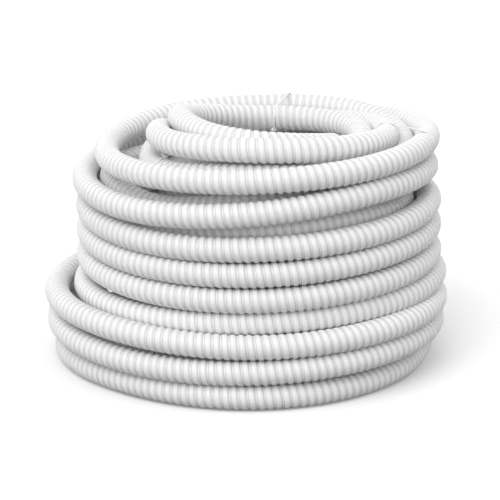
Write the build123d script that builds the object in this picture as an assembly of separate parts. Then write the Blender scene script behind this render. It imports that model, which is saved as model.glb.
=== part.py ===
from build123d import *
import math
import os

# Coiled pool vacuum hose with a swivel cuff on its outer end and a fixed cuff on its inner end.
# Millimetres, +Z up, floor at z = 0, origin under the middle of the whole part.

# Hose
HOSE_OD = 44.5
HOSE_BORE = 37.0
HOSE_R = HOSE_OD / 2

# Where the coil's own centre stands from the origin, so the whole part's box is centred
COIL_X = 7.0
COIL_Y = -77.0

# Each turn of the coil: middle x and y from the coil's centre, half width, half depth, height of its top
LOWER_TURNS = [
    (-7.0, 1.5, 350.0, 324.0, 48.0),
    (-7.0, 3.5, 362.0, 328.0, 96.0),
    (-7.0, 3.5, 365.0, 328.5, 144.0),
]
UPPER_TURNS = [
    (15.0, 13.5, 326.0, 308.0, 190.0),
    (15.0, 9.0, 328.0, 311.0, 236.0),
    (15.0, 9.0, 328.0, 311.0, 282.0),
    (15.0, 9.0, 327.0, 312.0, 328.0),
    (8.0, 7.0, 328.0, 314.0, 374.0),
]
TOP_TURN = (30.0, 8.0, 312.0, 304.0, 421.0)
LOOSE_LOOPS = (43.0, -28.0, 223.0, 229.0, 470.0)
CORE_R = 216.0
TOP_CORE_R = 135.0
LOOP_CORE_RX = 96.0
LOOP_CORE_RY = 120.0
TURN_ROUNDING = 18.0
BOTTOM_ROUNDING = 12.0

# Swivel cuff, its axis along -X with the hose's end face at SWIVEL_X
SWIVEL_X = 20.0
SWIVEL_Y = 450.0
CUFF_OD = 58.0
CUFF_Z = CUFF_OD / 2
COLLAR_OD = 49.5
COLLAR_LENGTH = 31.0
COLLAR_LIP = 3.0
FLANGE_OD = 53.0
FLANGE_LENGTH = 6.0
ROOT_OVERLAP = 1.0
CUFF_CAVITY_D = 53.6
RUNNING_CLEARANCE = 0.05
AXIAL_GAP = 0.3
WASHER_THICKNESS = 2.0
WASHER_BORE = 41.0
RING_LENGTH = 7.0
SOCKET_LENGTH = 48.0
SOCKET_D = 38.1
NOSE_OD = 46.0
GRIP_COUNT = 20
GRIP_R = 2.2
GRIP_INSET = 2 * GRIP_R
GRIP_LENGTH = 26.0

# Fixed cuff on the inner end, its axis along +X with the hose's end face at FIXED_X
FIXED_X = 25.0
FIXED_Y = 160.0
FIXED_OD = 54.0
FIXED_Z = FIXED_OD / 2
FIXED_OVERLAP = 30.0
FIXED_SOCKET_LENGTH = 48.0
FIXED_WALL_STOP = 3.0
SHOULDER_ROUNDING = 3.0
EDGE_ROUNDING = 1.0

# Ties over the loose loops: how far each stands out of the loops' surface, and where round them it is
TIE_THICKNESS = 1.4
TIE_WIDTH = 4.8
TIE_ANGLES = {"tie_back": 83.0, "tie_right": 24.0, "tie_left": 186.0}

# Route of the hose's outer end, from the collar to where it joins the lowest turn
OUTER_ROUTE = [
    (20, 450, 29), (78, 450, 29), (140, 442, 26), (198, 419, 22.25), (248, 382, 22.25),
    (287.5, 334, 22.25), (313.5, 277, 22.25), (324.5, 216, 22.25), (326, 153, 22.25), (321, 92, 22.25),
]

# Route of the hose's inner end, from where it leaves the inner layer to the fixed cuff
INNER_ROUTE = [
    (-150, -181, 30), (-189, -127, 25), (-208, -64, 22.25), (-209, 2, 22.25), (-190, 64, 22.25),
    (-150, 115, 24), (-95, 148, 27), (-35, 160, 27), (25, 160, 27),
]

# An arc's tangent length as a share of the shorter run beside it, so that neighbouring arcs never meet
ARC_SHARE = 0.45


def in_frame(point):
    """A point measured from the coil's centre, in the part's frame."""
    return (point[0] + COIL_X, point[1] + COIL_Y, point[2])


def turn_radii(points):
    """Arc radius at each inner corner of a route."""
    radii = []
    for before, here, after in zip(points, points[1:], points[2:]):
        run_in = Vector(*here) - Vector(*before)
        run_out = Vector(*after) - Vector(*here)
        half_turn = math.radians(run_in.get_angle(run_out)) / 2
        radii.append(ARC_SHARE * min(run_in.length, run_out.length) / math.tan(half_turn))
    return radii


def hose_tube(name, route):
    """The hose along an uncoiled stretch, with its bore."""
    points = [in_frame(point) for point in route]
    radii = turn_radii(points)
    print(name, "arc radii", [round(radius) for radius in radii])
    path = FilletPolyline(*points, radius=radii)
    profile = Plane(origin=path @ 0, z_dir=path % 0) * (Circle(HOSE_R) - Circle(HOSE_BORE / 2))
    tube = sweep(profile, path=path)
    section = math.pi * (HOSE_R ** 2 - (HOSE_BORE / 2) ** 2)
    volume_error = tube.volume / (section * path.length) - 1
    print(name, "length", round(path.length), "volume error", round(volume_error, 4))
    return tube


def turn_disc(turn, base, hole_rx, hole_ry, bottom_rounding=TURN_ROUNDING):
    """One turn's closed outer shape: an oval disc with a rounded rim and an open core."""
    x, y, half_width, half_depth, top = turn
    centre = in_frame((x, y, base))
    core = in_frame((0, 0, base))
    disc = Pos(*centre) * extrude(Ellipse(half_width, half_depth), amount=top - base)
    rims = disc.edges().sort_by(Axis.Z)
    disc = fillet(rims[-1], TURN_ROUNDING)
    low_rim = disc.edges().sort_by(Axis.Z)[0]
    disc = fillet(low_rim, bottom_rounding)
    return disc - Pos(*core) * extrude(Ellipse(hole_rx, hole_ry), amount=top - base)


def stacked_turns(turns, base):
    """A group of turns lying on each other, as one closed solid."""
    group = None
    for turn in turns:
        rounding = BOTTOM_ROUNDING if base == 0 else TURN_ROUNDING
        disc = turn_disc(turn, base, CORE_R, CORE_R, rounding)
        group = disc if group is None else group + disc
        base = turn[4]
    return group


def loose_loops():
    """The two loose loops on top, as one closed solid round their own open core."""
    x, y, half_width, half_depth, top = LOOSE_LOOPS
    base = TOP_TURN[4]
    disc = Pos(*in_frame((x, y, base))) * extrude(Ellipse(half_width, half_depth), amount=top - base)
    core = Pos(*in_frame((x, y, base))) * extrude(Ellipse(LOOP_CORE_RX, LOOP_CORE_RY), amount=top - base)
    return disc - core


def rounded_tube(outer_r, bore_r, start, length, rounding):
    """A ring along +Z with its two outer edges rounded."""
    ring = Pos(0, 0, start) * extrude(Circle(outer_r), amount=length)
    rims = ring.edges().filter_by(GeomType.CIRCLE)
    ring = fillet(rims, rounding)
    return ring - Pos(0, 0, start) * extrude(Circle(bore_r), amount=length)


def plain_tube(outer_r, bore_r, start, length):
    """A plain ring along +Z."""
    return Pos(0, 0, start) * extrude(Circle(outer_r) - Circle(bore_r), amount=length)


def swivel_place():
    """Cuff axis with its own z = 0 at the hose's outer end face, +Z out of the hose's end."""
    origin = in_frame((SWIVEL_X, SWIVEL_Y, CUFF_Z))
    return Plane(origin=origin, x_dir=(0, 0, 1), z_dir=(-1, 0, 0)).location


def fixed_place():
    """Fixed cuff axis with its own z = 0 at the hose's inner end face, +Z out of the hose's end."""
    origin = in_frame((FIXED_X, FIXED_Y, FIXED_Z))
    return Plane(origin=origin, x_dir=(0, 0, 1), z_dir=(1, 0, 0)).location


def swivel_collar():
    """Flanged collar glued over the hose's end, with a lip that covers the end face."""
    barrel = plain_tube(COLLAR_OD / 2, HOSE_R, -COLLAR_LENGTH, COLLAR_LENGTH)
    lip = plain_tube(COLLAR_OD / 2, HOSE_BORE / 2, 0, COLLAR_LIP)
    flange_bore = COLLAR_OD / 2 - ROOT_OVERLAP
    flange = plain_tube(FLANGE_OD / 2, flange_bore, COLLAR_LIP - FLANGE_LENGTH, FLANGE_LENGTH)
    return barrel + lip + flange


def swivel_washer():
    """Flat seal lying on the cuff's inner step, just clear of the collar."""
    start = COLLAR_LIP + AXIAL_GAP
    return plain_tube(CUFF_CAVITY_D / 2, WASHER_BORE / 2, start, WASHER_THICKNESS)


def swivel_cuff():
    """Turning cuff: a cup round the collar's flange, a step, and the socket for the vacuum head."""
    step = COLLAR_LIP + AXIAL_GAP + WASHER_THICKNESS
    cup_start = COLLAR_LIP - FLANGE_LENGTH - AXIAL_GAP - RING_LENGTH
    cup_length = step + GRIP_LENGTH / 2 - cup_start
    cup = rounded_tube(CUFF_OD / 2, SOCKET_D / 2, cup_start, cup_length, EDGE_ROUNDING)
    nose_start = step + GRIP_LENGTH / 2 - SHOULDER_ROUNDING
    nose = rounded_tube(NOSE_OD / 2, SOCKET_D / 2, nose_start, SOCKET_LENGTH, EDGE_ROUNDING)
    cavity = Pos(0, 0, cup_start) * extrude(Circle(CUFF_CAVITY_D / 2), amount=step - cup_start)
    body = cup + nose - cavity
    groove_length = cup_length - 2 * GRIP_INSET
    groove_place = Pos(CUFF_OD / 2 + GRIP_R / 2, 0, cup_start + GRIP_INSET)
    for index in range(GRIP_COUNT):
        groove = groove_place * extrude(Circle(GRIP_R), amount=groove_length)
        body -= Rot(0, 0, 360 * index / GRIP_COUNT) * groove
    return body


def swivel_retaining_ring():
    """Ring pressed into the cuff's back, running on the collar behind its flange."""
    start = COLLAR_LIP - FLANGE_LENGTH - AXIAL_GAP - RING_LENGTH
    return plain_tube(CUFF_CAVITY_D / 2, COLLAR_OD / 2 + RUNNING_CLEARANCE, start, RING_LENGTH)


def fixed_cuff():
    """Cuff fixed over the hose's inner end, with a stop against the hose's end face and a socket."""
    grip = rounded_tube(FIXED_OD / 2, HOSE_R, -FIXED_OVERLAP, FIXED_OVERLAP + FIXED_WALL_STOP, EDGE_ROUNDING)
    stop = plain_tube(HOSE_R + ROOT_OVERLAP, HOSE_BORE / 2, 0, FIXED_WALL_STOP)
    nose_start = FIXED_WALL_STOP - SHOULDER_ROUNDING
    nose_length = FIXED_SOCKET_LENGTH + SHOULDER_ROUNDING
    nose = rounded_tube(NOSE_OD / 2, SOCKET_D / 2, nose_start, nose_length, EDGE_ROUNDING)
    return grip + stop + nose


def tie(angle):
    """A tie strap standing over the loose loops: over their top and down both their sides."""
    x, y, half_width, half_depth, top = LOOSE_LOOPS
    base = TOP_TURN[4]
    across = math.radians(angle)
    ray = Vector(math.cos(across), math.sin(across), 0)
    outside = ray_reach(half_width, half_depth, across)
    inside = ray_reach(LOOP_CORE_RX, LOOP_CORE_RY, across)
    height = top - base
    side = height + TIE_THICKNESS
    centre = Vector(*in_frame((x, y, base)))
    place = Plane(origin=centre, x_dir=ray, z_dir=(ray.Y, -ray.X, 0)).location
    slack = TIE_WIDTH / 2
    outer_leg = Pos(outside + slack, side / 2, 0) * Box(TIE_THICKNESS, side, TIE_WIDTH)
    inner_leg = Pos(inside - slack, side / 2, 0) * Box(TIE_THICKNESS, side, TIE_WIDTH)
    bridge_length = outside - inside + 2 * slack
    bridge_place = Pos((outside + inside) / 2, height + TIE_THICKNESS / 2, 0)
    bridge = bridge_place * Box(bridge_length, TIE_THICKNESS, TIE_WIDTH)
    return place * (outer_leg + inner_leg + bridge)


def ray_reach(half_width, half_depth, angle):
    """How far an oval reaches from its centre in a direction."""
    return 1 / math.hypot(math.cos(angle) / half_width, math.sin(angle) / half_depth)


def print_box(shapes):
    """Print the lowest and highest corners of all the shapes together."""
    boxes = [shape.bounding_box() for shape in shapes]
    low = [min(getattr(box.min, axis) for box in boxes) for axis in "XYZ"]
    high = [max(getattr(box.max, axis) for box in boxes) for axis in "XYZ"]
    print("low corner", low, "high corner", high)


def main():
    os.makedirs("parts", exist_ok=True)
    lower_top = LOWER_TURNS[-1][4]
    upper_top = UPPER_TURNS[-1][4]
    nodes = {
        "hose_lower_turns": stacked_turns(LOWER_TURNS, 0),
        "hose_upper_turns": stacked_turns(UPPER_TURNS, lower_top),
        "hose_top_turn": turn_disc(TOP_TURN, upper_top, TOP_CORE_R, TOP_CORE_R),
        "hose_loose_loops": loose_loops(),
        "hose_outer_tail": hose_tube("hose_outer_tail", OUTER_ROUTE),
        "hose_inner_tail": hose_tube("hose_inner_tail", INNER_ROUTE),
        "swivel_collar": swivel_place() * swivel_collar(),
        "swivel_washer": swivel_place() * swivel_washer(),
        "swivel_cuff": swivel_place() * swivel_cuff(),
        "swivel_retaining_ring": swivel_place() * swivel_retaining_ring(),
        "fixed_cuff": fixed_place() * fixed_cuff(),
    }
    for name, angle in TIE_ANGLES.items():
        nodes[name] = tie(angle)
    for name, shape in nodes.items():
        export_step(shape, os.path.join("parts", name + ".step"))
        print(name, "solids", len(shape.solids()), "valid", shape.is_valid)
    print_box(nodes.values())


main()
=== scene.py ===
import bmesh
import bpy
import math
import numpy as np
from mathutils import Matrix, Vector


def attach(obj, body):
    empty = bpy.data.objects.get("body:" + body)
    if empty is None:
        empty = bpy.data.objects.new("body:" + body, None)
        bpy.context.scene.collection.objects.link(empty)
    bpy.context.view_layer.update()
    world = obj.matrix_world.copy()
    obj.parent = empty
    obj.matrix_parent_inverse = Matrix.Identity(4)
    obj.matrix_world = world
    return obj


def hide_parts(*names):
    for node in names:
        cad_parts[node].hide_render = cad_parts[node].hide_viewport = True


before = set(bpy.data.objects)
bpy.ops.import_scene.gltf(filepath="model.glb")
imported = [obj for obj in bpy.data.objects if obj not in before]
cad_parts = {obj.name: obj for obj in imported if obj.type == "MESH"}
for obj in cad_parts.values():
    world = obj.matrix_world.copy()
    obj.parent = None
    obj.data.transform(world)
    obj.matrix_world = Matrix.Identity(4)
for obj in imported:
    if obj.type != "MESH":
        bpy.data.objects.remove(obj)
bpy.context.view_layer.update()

# Metres, the CAD's frame. The coil's own centre stands off the origin by COIL.
COIL = Vector((0.007, -0.077, 0.0))
HOSE_D = 0.0445
HOSE_R = HOSE_D / 2
PITCH = 0.0143
RIB_DEPTH = 0.0025
# The hose has SIDES points round it, each at its share of a turn
SIDES = 24
TURN = np.arange(SIDES) / SIDES
# One rib of the hose's wall, then the groove and the small crest in it: (share of the pitch, share of the
# rib's height). What lies lower than CREASE_HEIGHT is a crease, where the colour is darkened as painted
# shade.
RIB = (
    (0.0, 0.0), (0.04, 0.6), (0.11, 0.93), (0.34, 1.0), (0.58, 0.92), (0.65, 0.6), (0.7, 0.05), (0.85, 0.48),
)
CREASE_HEIGHT = 0.1
# The smooth bore shows only in the open ends, so it goes no further in than BORE_LENGTH
BORE_R = 0.0185
BORE_LENGTH = 0.12
BORE_ROWS = 13

# Each tie: the spots of the hose it goes round as (turn, station from the right), how far round the loop from
# its top the head sits in degrees, and how long the loose tail is
TIES = {
    "tie_strap_back": (((11, 6.35), (8, 6.32)), -141.0, 0.022),
    "tie_strap_right": (((10, 0.1), (9, 0.15), (8, 0.25)), -130.0, 0.012),
    "tie_strap_left": (((12, 3.2), (9, 3.15)), 13.0, 0.012),
}
TIE_WIDTH = 0.0045
TIE_THICKNESS = 0.0013
TIE_BEVEL = TIE_THICKNESS / 4
TIE_HEAD = 0.0075
TIE_HEAD_EDGE = 0.0008
TIE_HEAD_LIFT = 0.0022
TIE_STEPS = 48
TIE_TAIL_STEPS = 6
TIE_TAIL_LIFT = 0.2

# Plastics: marks are the faint patches that handling leaves, grain is the mould's own fine texture
SUBSURFACE_RADIUS = (0.004, 0.004, 0.004)
MARKS_SCALE = 22.0
MARKS_DETAIL = 4.0
MARKS_SHADE = 0.93
MARKS_RANGE = (0.3, 0.7)
MARKS_ROUGHNESS = 0.08
GRAIN_DETAIL = 3.0
GRAIN_DEPTH = 0.0003

# Each plastic: its colour, its roughness, how many grains it has in a metre, how strongly the grain shows,
# and for the hose how much light sinks in
HOSE_COLOR = (0.79, 0.79, 0.79)
# How dark the painted shade in the creases is, as a share of HOSE_COLOR
CREASE_SHADE = 0.74
HOSE_WHITE = (HOSE_COLOR, 0.35, 900.0, 0.15, 0.15)
CUFF_GREY = ((0.16, 0.17, 0.18), 0.45, 700.0, 0.2)
COLLAR_BLACK = ((0.02, 0.02, 0.022), 0.4, 700.0, 0.2)
SEAL_RUBBER = ((0.015, 0.015, 0.015), 0.75, 700.0, 0.3)
TIE_CLEAR = ((0.8, 0.81, 0.82), 0.25, 900.0, 0.05)

# Camera: distance from the point looked at, elevation in degrees, lens on a 36 mm sensor
LOOK_AT = COIL + Vector((0.0, 0.0, 0.2))
CAMERA_DISTANCE = 5.0
CAMERA_ELEVATION = 17.0
CAMERA_LENS = 198.45
CAMERA_SHIFT_Y = -0.0028

# Light: the surroundings' brightness above and below the horizon, and how far below it the two blend
SKY_LIGHT = 0.9
GROUND_LIGHT = 0.2
HORIZON_BLEND = 0.3
FLOOR_SIZE = 30.0
FLOOR_WHITE = 0.97
# Each lamp: its name and strength, then its elevation, azimuth and softness in degrees
LAMPS = (
    ("key", 1.2, 48.0, -122.0, 45.0),
    ("fill", 0.5, 20.0, -98.0, 60.0),
    ("back", 0.2, 30.0, 65.0, 60.0),
)

# The hose's outer end, from the swivel collar to the lowest turn, from the coil's centre
OUTER_ROUTE = [
    (0.020, 0.450, 0.029), (0.078, 0.450, 0.029), (0.140, 0.442, 0.026), (0.198, 0.419, 0.02225),
    (0.248, 0.382, 0.02225), (0.2875, 0.334, 0.02225), (0.3135, 0.277, 0.02225), (0.3245, 0.216, 0.02225),
    (0.326, 0.153, 0.02225), (0.321, 0.092, 0.02225),
]

# Each turn of the coil, clockwise seen from above: nine that rise, three that lie on the top and four that go
# down inside. Each has (distance from the coil's centre, height) in millimetres at every 45 degrees, from the
# right by the front, the left and the back.
COIL_TURNS = [
    [(306, 22.3), (295, 22.3), (299, 22.3), (305, 24), (337, 22.3), (318, 34), (301, 50), (319, 64)],
    [(333, 75), (316, 76), (303, 68), (324, 70), (349, 76), (332, 83), (311, 92), (328, 104)],
    [(338, 117), (321, 121), (303, 114), (326, 124), (353, 127), (336, 132), (311, 136), (330, 148)],
    [(337, 160), (296, 157), (273, 149), (282, 142), (299, 139), (294, 157), (302, 179), (320, 195)],
    [(326, 204), (303, 201), (283, 192), (284, 192), (292, 196), (297, 208), (302, 223), (320, 240)],
    [(325, 252), (302, 248), (283, 238), (284, 237), (292, 242), (297, 253), (302, 267), (320, 286)],
    [(324, 298), (302, 293), (283, 284), (285, 281), (292, 288), (297, 298), (302, 311), (320, 334)],
    [(317, 360), (300, 368), (284, 347), (289, 333), (298, 337), (301, 344), (302, 358), (336, 386)],
    [(318, 411), (300, 412), (278, 403), (264, 393), (256, 385), (270, 390), (287, 395), (295, 402)],
    [(276, 386), (256, 393), (230, 400), (199, 382), (176, 367), (202, 374), (240, 367), (245, 394)],
    [(245, 416), (246, 437), (233, 447), (196, 436), (158, 423), (152, 380), (150, 351), (147, 366)],
    [(142, 393), (173, 426), (190, 449), (136, 449), (124, 447), (141, 423), (167, 403), (197, 404)],
    [(201, 409), (196, 389), (178, 372), (150, 355), (134, 342), (164, 331), (196, 341), (207, 349)],
    [(215, 352), (226, 352), (236, 352), (222, 322), (250, 336), (247, 331), (240, 326), (236, 321)],
    [(276, 296), (256, 311), (238, 303), (238, 282), (244, 288), (246, 286), (250, 281), (262, 279)],
    [(268, 251), (252, 262), (236, 257), (237, 240), (243, 241), (246, 240), (250, 234), (255, 222)],
]
STATION_STEP = math.pi / 4
# How many points of the hose's route there are from one station to the next
STATION_POINTS = 2
MM = 0.001

# The inner layer below those turns, each turn of it lying on the next: its radius and its count of stations
INNER_R = 0.232
INNER_STATIONS = 35

# The hose's inner end, from the inner layer to the fixed cuff, from the coil's centre
INNER_ROUTE = [
    (-0.150, -0.181, 0.030), (-0.189, -0.127, 0.025), (-0.208, -0.064, 0.02225), (-0.209, 0.002, 0.02225),
    (-0.190, 0.064, 0.02225), (-0.150, 0.115, 0.024), (-0.095, 0.148, 0.027), (-0.035, 0.160, 0.027),
    (0.025, 0.160, 0.027),
]
LINE_STEPS = 6


def place_camera():
    """The camera at the coil's front, a little above it."""
    data = bpy.data.cameras.new("camera")
    data.lens = CAMERA_LENS
    data.shift_y = CAMERA_SHIFT_Y
    camera = bpy.data.objects.new("camera", data)
    bpy.context.scene.collection.objects.link(camera)
    rise = math.radians(CAMERA_ELEVATION)
    back = Vector((0.0, -math.cos(rise), math.sin(rise)))
    camera.location = LOOK_AT + back * CAMERA_DISTANCE
    camera.rotation_euler = (math.pi / 2 - rise, 0.0, 0.0)
    bpy.context.scene.camera = camera


def blend_four(before, a, b, after, t):
    """A smooth step from a to b that also heeds their neighbours."""
    return tuple(
        0.5 * (2 * q + (r - p) * t + (2 * p - 5 * q + 4 * r - s) * t * t + (3 * q - p - 3 * r + s) * t ** 3)
        for p, q, r, s in zip(before, a, b, after)
    )


def coil_stations():
    """Every station of the coil as (distance from the coil's centre, height)."""
    stations = [(radius * MM, height * MM) for turn in COIL_TURNS for radius, height in turn]
    top = stations[-1][1]
    fall = HOSE_D / len(COIL_TURNS[0])
    return stations + [(INNER_R, top - fall * i) for i in range(1, INNER_STATIONS + 1)]


def coil_point(place, radius, height):
    """A point from the coil's centre, its place counted in stations from the right of the lowest turn."""
    angle = place * STATION_STEP - math.pi / 2
    return Vector((-radius * math.sin(angle), -radius * math.cos(angle), height))


def hose_route():
    """Points that steer the hose's centreline, from the swivel cuff to the fixed cuff."""
    points = [Vector(p) for p in OUTER_ROUTE]
    stations = coil_stations()
    last = len(stations) - 1
    # The smooth line cuts the corners between its points, so they stand this much further out than it
    widen = 1 / math.cos(STATION_STEP / STATION_POINTS / 2)
    for i in range(last):
        around = (stations[max(i - 1, 0)], stations[i], stations[i + 1], stations[min(i + 2, last)])
        for j in range(STATION_POINTS):
            share = j / STATION_POINTS
            radius, height = blend_four(*around, share)
            points.append(coil_point(i + share, radius * widen, height))
    points += [Vector(p) for p in INNER_ROUTE]
    return [COIL + p for p in points]


def smooth_line(name, points):
    """The points read along a smooth NURBS curve through the route, as an array."""
    data = bpy.data.curves.new(name, "CURVE")
    data.dimensions = "3D"
    spline = data.splines.new("NURBS")
    spline.points.add(len(points) - 1)
    for spot, p in zip(spline.points, points):
        spot.co = (*p, 1.0)
    spline.order_u = 3
    spline.use_endpoint_u = True
    spline.resolution_u = LINE_STEPS
    curve = bpy.data.objects.new(name, data)
    bpy.context.scene.collection.objects.link(curve)
    mesh = bpy.data.meshes.new_from_object(curve.evaluated_get(bpy.context.evaluated_depsgraph_get()))
    line = np.empty(len(mesh.vertices) * 3)
    mesh.vertices.foreach_get("co", line)
    bpy.data.objects.remove(curve)
    bpy.data.curves.remove(data)
    bpy.data.meshes.remove(mesh)
    return line.reshape(-1, 3)


def unit(rows):
    """Each row of an array made one long."""
    return rows / np.linalg.norm(rows, axis=-1, keepdims=True)


class Line:
    """A centreline that can be read at any distance along it."""

    def __init__(self, points):
        steps = np.linalg.norm(np.diff(points, axis=0), axis=1)
        self.points = points
        self.along = np.concatenate([[0.0], np.cumsum(steps)])
        self.length = float(self.along[-1])
        self.ahead = unit(np.gradient(points, self.along, axis=0))

    def read(self, table, distance):
        """What a table with one row for each point of the line says at each distance."""
        return np.stack([np.interp(distance, self.along, table[:, k]) for k in range(3)], axis=-1)

    def frames(self, distance):
        """Point, sideways and upwards directions at each distance."""
        centre = self.read(self.points, distance)
        ahead = unit(self.read(self.ahead, distance))
        side = unit(np.cross(ahead, (0.0, 0.0, 1.0)))
        return centre, side, np.cross(side, ahead)


def mesh_object(name, points, faces):
    """A smooth shaded mesh from arrays of points and four-sided faces."""
    mesh = bpy.data.meshes.new(name)
    mesh.vertices.add(len(points))
    mesh.vertices.foreach_set("co", points.ravel())
    mesh.loops.add(faces.size)
    mesh.loops.foreach_set("vertex_index", faces.ravel())
    mesh.polygons.add(len(faces))
    mesh.polygons.foreach_set("loop_start", np.arange(0, faces.size, 4))
    mesh.polygons.foreach_set("use_smooth", np.ones(len(faces), dtype=bool))
    mesh.update()
    mesh.validate()
    piece = bpy.data.objects.new(name, mesh)
    bpy.context.scene.collection.objects.link(piece)
    return piece


def ring_points(line, distance, radius):
    """Rings of points round the line, each point at its own distance along it."""
    centre, side, up = line.frames(distance)
    angle = 2 * np.pi * TURN[None, :, None]
    return centre + radius[:, None, None] * (np.cos(angle) * side + np.sin(angle) * up)


def ring_faces(index, beyond):
    """Faces between each ring and the next. beyond holds the neighbour of every point round its ring."""
    return np.stack([index[:-1], index[1:], beyond[1:], beyond[:-1]], axis=-1)


def ribbed_wall(line):
    """The corrugated outside as points, faces and creases. Its rings follow the ribs' own helix."""
    phases, heights = np.array(RIB).T
    starts = np.arange(int(line.length / PITCH) + 2)
    row_distance = ((starts[:, None] + phases[None, :]) * PITCH).ravel()
    row_radius = np.tile(HOSE_R - RIB_DEPTH * (1 - heights), len(starts))
    distance = np.clip(row_distance[:, None] - PITCH * TURN[None, :], 0.0, line.length)
    index = np.arange(distance.size).reshape(-1, SIDES)
    # The last point of a ring meets the first point of the ring one pitch back. The first rib has none to
    # meet, so it has no faces: the wall starts within the first pitch, under the collar.
    beyond = np.concatenate([index[:, 1:], np.roll(index[:, :1], len(RIB), axis=0)], axis=1)
    faces = ring_faces(index, beyond)[len(RIB):].reshape(-1, 4)
    clear = ((distance > 0.0) & (distance < line.length)).ravel()
    # The points in the creases, which the hose's material darkens as painted shade
    shaded_crease = np.repeat(np.tile(heights < CREASE_HEIGHT, len(starts)), SIDES)
    return ring_points(line, distance, row_radius).reshape(-1, 3), faces[clear[faces].any(axis=1)], shaded_crease


def bore_wall(line, end, inward):
    """The end face and the smooth bore inside it at one end of the hose, as points and faces."""
    distance = end + inward * np.append(0.0, np.linspace(0.0, BORE_LENGTH, BORE_ROWS))
    radius = np.append(HOSE_R - RIB_DEPTH, np.full(BORE_ROWS, BORE_R))
    if inward > 0:
        distance, radius = distance[::-1], radius[::-1]
    index = np.arange(len(distance) * SIDES).reshape(-1, SIDES)
    faces = ring_faces(index, np.roll(index, -1, axis=1))
    rings = np.repeat(distance[:, None], SIDES, axis=1)
    return ring_points(line, rings, radius).reshape(-1, 3), faces.reshape(-1, 4)


def merged(shapes):
    """Several shapes' points and faces as one, and which points it keeps: those that its faces use."""
    points, faces, count = [], [], 0
    for shape_points, shape_faces in shapes:
        points.append(shape_points)
        faces.append(shape_faces + count)
        count += len(shape_points)
    used, faces = np.unique(np.concatenate(faces), return_inverse=True)
    return np.concatenate(points)[used], faces.reshape(-1, 4), used


def ribbed_hose(name, line):
    """The corrugated hose along its line, with its bore at both ends."""
    wall_points, wall_faces, shaded_crease = ribbed_wall(line)
    ends = [bore_wall(line, 0.0, 1), bore_wall(line, line.length, -1)]
    points, faces, used = merged([(wall_points, wall_faces), *ends])
    piece = mesh_object(name, points, faces)
    # Each point's weight of painted shade: 1 in the creases of the outside, 0 elsewhere and in the bore
    outside = used < len(shaded_crease)
    creased = np.zeros(len(points))
    creased[outside] = shaded_crease[used[outside]]
    piece.data.attributes.new("shaded_crease", "FLOAT", "POINT").data.foreach_set("value", creased)
    return piece


def swept(path, outline, out, side):
    """An outline of (outwards, sideways) corners carried along a path, closed at both ends."""
    corners = np.array(outline)
    outwards = corners[None, :, :1] * out[:, None, :]
    sideways = corners[None, :, 1:] * side[:, None, :]
    points = path[:, None, :] + outwards + sideways
    count = len(corners)
    index = np.arange(len(path) * count).reshape(-1, count)
    after = np.roll(index, -1, axis=1)
    faces = [np.stack([index[:-1], after[:-1], after[1:], index[1:]], axis=-1).reshape(-1, 4)]
    # Each end is closed by strips between opposite corners
    for ring in (index[0], index[-1][::-1]):
        strips = [[ring[k], ring[k - 1], ring[-k], ring[-k - 1]] for k in range(1, count // 2)]
        faces.append(np.array(strips))
    return points.reshape(-1, 3), np.concatenate(faces)


def turn_centre(turn, station):
    """Where the hose's centreline lies on a turn, at a station that may be between two."""
    stations = coil_stations()
    place = turn * len(COIL_TURNS[0]) + station
    i = int(place)
    return COIL + coil_point(place, *blend_four(*stations[i - 1:i + 3], place - i))


def tie_head(place, ahead, lift, side):
    """The tie's ratchet block, its edges taken off, as points and faces."""
    half, corner = TIE_HEAD / 2, TIE_HEAD / 2 - TIE_HEAD_EDGE
    box = [
        (-half, -corner), (-corner, -half), (corner, -half), (half, -corner),
        (half, corner), (corner, half), (-corner, half), (-half, corner),
    ]
    middle = place + lift * TIE_HEAD_LIFT
    rows = np.array([middle + ahead * step for step in (-half, -corner, corner, half)])
    swell = (corner / half, 1.0, 1.0, corner / half)
    head_out = np.array([lift * k for k in swell])
    head_side = np.array([side * k for k in swell])
    return swept(rows, box, head_out, head_side)


def face_outwards(piece):
    """Every face of the piece's closed shapes turned outwards."""
    work = bmesh.new()
    work.from_mesh(piece.data)
    bmesh.ops.recalc_face_normals(work, faces=work.faces)
    work.to_mesh(piece.data)
    work.free()


def strap(name, spots, head_turn, tail):
    """A ratchet tie round two or more runs of the hose, with its head and its trimmed tail."""
    centres = [turn_centre(*spot) for spot in spots]
    along = (centres[-1] - centres[0]).normalized()
    side = along.cross(Vector((0.0, 0.0, 1.0))).normalized()
    over = side.cross(along)
    # The whole loop lies in one plane, across the runs
    centres = [centre - side * (centre - centres[0]).dot(side) for centre in centres]
    path, outs = [], []
    for k in range(TIE_STEPS + 1):
        angle = math.radians(head_turn) + 2 * math.pi * k / TIE_STEPS
        out = over * math.cos(angle) + along * math.sin(angle)
        furthest = max(centres, key=out.dot)
        path.append(furthest + out * (HOSE_R + TIE_THICKNESS / 2))
        outs.append(out)
    ahead = (path[-1] - path[-2]).normalized()
    lift = outs[-1]
    for k in range(1, TIE_TAIL_STEPS + 1):
        path.append(path[-1] + (ahead + lift * TIE_TAIL_LIFT * k).normalized() * tail / TIE_TAIL_STEPS)
        outs.append(outs[-1])
    path, outs = np.array(path), np.array(outs)
    sides = np.tile(side, (len(path), 1))
    outer, edge = TIE_THICKNESS / 2, TIE_WIDTH / 2
    band = [
        (-outer, -edge), (outer - TIE_BEVEL, -edge), (outer, -edge + TIE_BEVEL),
        (outer, edge - TIE_BEVEL), (outer - TIE_BEVEL, edge), (-outer, edge),
    ]
    shapes = [swept(path, band, outs, sides), tie_head(Vector(path[0]), ahead, lift, side)]
    piece = mesh_object(name, *merged(shapes)[:2])
    face_outwards(piece)
    return piece


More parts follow.
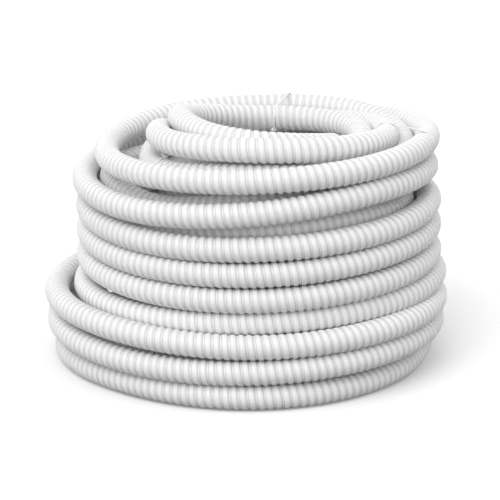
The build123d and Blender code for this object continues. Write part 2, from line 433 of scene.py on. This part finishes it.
def noise(material, scale, detail):
    """A noise over the object, its scale in lumps per metre."""
    nodes, links = material.node_tree.nodes, material.node_tree.links
    place = nodes.new("ShaderNodeTexCoord")
    texture = nodes.new("ShaderNodeTexNoise")
    texture.inputs["Scale"].default_value = scale
    texture.inputs["Detail"].default_value = detail
    links.new(place.outputs["Object"], texture.inputs["Vector"])
    return texture.outputs["Fac"]


def plastic(name, color, roughness, grain_scale, grain_strength, subsurface=0.0):
    """A moulded plastic: a fine grain in its relief, and handling marks in its colour and gloss."""
    material = bpy.data.materials.new(name)
    material.use_nodes = True
    nodes, links = material.node_tree.nodes, material.node_tree.links
    shader = nodes["Principled BSDF"]
    shader.inputs["Subsurface Weight"].default_value = subsurface
    shader.inputs["Subsurface Radius"].default_value = SUBSURFACE_RADIUS
    marks = noise(material, MARKS_SCALE, MARKS_DETAIL)
    tint = nodes.new("ShaderNodeMix")
    tint.data_type = "RGBA"
    tint.inputs["A"].default_value = (*(c * MARKS_SHADE for c in color), 1.0)
    tint.inputs["B"].default_value = (*color, 1.0)
    links.new(marks, tint.inputs["Factor"])
    links.new(tint.outputs["Result"], shader.inputs["Base Color"])
    gloss = nodes.new("ShaderNodeMapRange")
    gloss.inputs["From Min"].default_value = MARKS_RANGE[0]
    gloss.inputs["From Max"].default_value = MARKS_RANGE[1]
    gloss.inputs["To Min"].default_value = roughness + MARKS_ROUGHNESS
    gloss.inputs["To Max"].default_value = roughness - MARKS_ROUGHNESS
    links.new(marks, gloss.inputs["Value"])
    links.new(gloss.outputs["Result"], shader.inputs["Roughness"])
    bump = nodes.new("ShaderNodeBump")
    bump.inputs["Strength"].default_value = grain_strength
    bump.inputs["Distance"].default_value = GRAIN_DEPTH
    links.new(noise(material, grain_scale, GRAIN_DETAIL), bump.inputs["Height"])
    links.new(bump.outputs["Normal"], shader.inputs["Normal"])
    return material


def hose_plastic():
    """Gloss white plastic, its colour darkened in the creases beside each rib as painted shade."""
    material = plastic("hose_white", *HOSE_WHITE)
    nodes, links = material.node_tree.nodes, material.node_tree.links
    shader = nodes["Principled BSDF"]
    # Painted shade: the crease points' colour is mixed towards HOSE_COLOR times CREASE_SHADE
    shaded_crease = nodes.new("ShaderNodeAttribute")
    shaded_crease.attribute_name = "shaded_crease"
    shade = nodes.new("ShaderNodeMix")
    shade.data_type = "RGBA"
    links.new(shaded_crease.outputs["Fac"], shade.inputs["Factor"])
    links.new(shader.inputs["Base Color"].links[0].from_socket, shade.inputs["A"])
    shade.inputs["B"].default_value = (*(c * CREASE_SHADE for c in HOSE_COLOR), 1.0)
    links.new(shade.outputs["Result"], shader.inputs["Base Color"])
    return material


def paint(piece, material):
    """The piece wears only this material."""
    piece.data.materials.clear()
    piece.data.materials.append(material)


def lamp(name, strength, elevation, azimuth, softness):
    """A broad soft lamp so far off that it lights everything alike."""
    data = bpy.data.lights.new(name, "SUN")
    data.energy = strength
    data.angle = math.radians(softness)
    shining = bpy.data.objects.new(name, data)
    rise, turn = math.radians(elevation), math.radians(azimuth)
    towards = Vector((math.cos(turn) * math.cos(rise), math.sin(turn) * math.cos(rise), math.sin(rise)))
    shining.rotation_euler = towards.to_track_quat("Z", "Y").to_euler()
    bpy.context.scene.collection.objects.link(shining)


def surroundings():
    """White surroundings, bright above the floor and dim below it."""
    world = bpy.data.worlds.new("studio")
    world.use_nodes = True
    nodes, links = world.node_tree.nodes, world.node_tree.links
    place = nodes.new("ShaderNodeTexCoord")
    split = nodes.new("ShaderNodeSeparateXYZ")
    level = nodes.new("ShaderNodeMapRange")
    level.inputs["From Min"].default_value = -HORIZON_BLEND
    level.inputs["From Max"].default_value = 0.0
    level.inputs["To Min"].default_value = GROUND_LIGHT
    level.inputs["To Max"].default_value = SKY_LIGHT
    links.new(place.outputs["Generated"], split.inputs["Vector"])
    links.new(split.outputs["Z"], level.inputs["Value"])
    links.new(level.outputs["Result"], nodes["Background"].inputs["Strength"])
    nodes["Background"].inputs["Color"].default_value = (1.0, 1.0, 1.0, 1.0)
    bpy.context.scene.world = world


def studio():
    """White floor, white surroundings and three soft lamps."""
    bpy.ops.mesh.primitive_plane_add(size=FLOOR_SIZE)
    floor = bpy.context.object
    floor.name = "floor"
    floor.visible_diffuse = False
    material = bpy.data.materials.new("floor_white")
    material.use_nodes = True
    shader = material.node_tree.nodes["Principled BSDF"]
    shader.inputs["Base Color"].default_value = (FLOOR_WHITE, FLOOR_WHITE, FLOOR_WHITE, 1.0)
    shader.inputs["Roughness"].default_value = 1.0
    floor.data.materials.append(material)
    surroundings()
    for each in LAMPS:
        lamp(*each)
    bpy.context.scene.view_settings.view_transform = "Standard"


def add_hose():
    """The hose, in place of its six plain solids."""
    line = Line(smooth_line("hose_line", hose_route()))
    hose = ribbed_hose("hose", line)
    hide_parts("hose_lower_turns", "hose_upper_turns", "hose_top_turn", "hose_loose_loops",
                "hose_outer_tail", "hose_inner_tail")
    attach(hose, "hose")
    paint(hose, hose_plastic())


def add_ties():
    """The ties, each in place of its own plain solid."""
    clear = plastic("tie_clear", *TIE_CLEAR)
    for name, (spots, head_turn, tail) in TIES.items():
        piece = strap(name, spots, head_turn, tail)
        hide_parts(name.replace("strap_", ""))
        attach(piece, "hose")
        paint(piece, clear)


def paint_fittings():
    """The swivel's parts and the fixed cuff, which stay as they are and get their plastics."""
    grey = plastic("cuff_grey", *CUFF_GREY)
    black = plastic("collar_black", *COLLAR_BLACK)
    rubber = plastic("seal_rubber", *SEAL_RUBBER)
    looks = {
        "swivel_collar": black, "swivel_retaining_ring": black, "swivel_washer": rubber,
        "swivel_cuff": grey, "fixed_cuff": grey,
    }
    for node, material in looks.items():
        paint(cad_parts[node], material)


place_camera()
add_hose()
add_ties()
paint_fittings()
studio()
